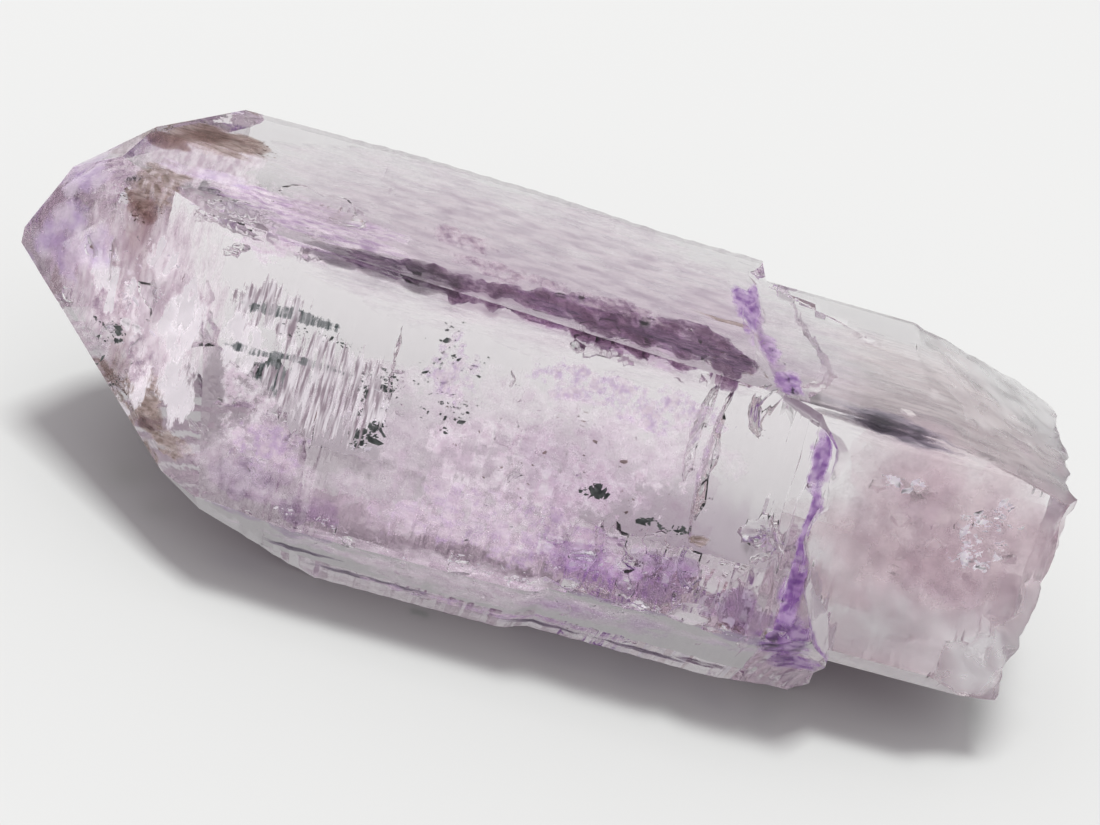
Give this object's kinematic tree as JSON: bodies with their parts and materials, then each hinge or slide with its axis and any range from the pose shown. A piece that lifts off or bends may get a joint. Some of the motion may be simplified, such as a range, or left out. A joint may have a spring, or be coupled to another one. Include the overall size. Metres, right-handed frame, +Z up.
{
  "type": "amethyst crystal",
  "caption": "Single amethyst crystal of sceptre habit: a wide six-sided head with a blunt point and a rough rim, on a thinner stem with a broken end.",
  "frame": {"origin": "bottom centre of the bounding box, on the surface that the crystal rests on", "axes": "+X along the crystal's long axis from the point to the broken stem, +Z up, -Y towards the viewer"},
  "size_m": [0.0502, 0.0192, 0.0149],
  "materials": {
    "amethyst": "clear natural crystal, pale lavender with purple and brown zones, striated sides and a rough broken end"
  },
  "bodies": {
    "root": {"amethyst_crystal": "amethyst"}
  },
  "joints": []
}
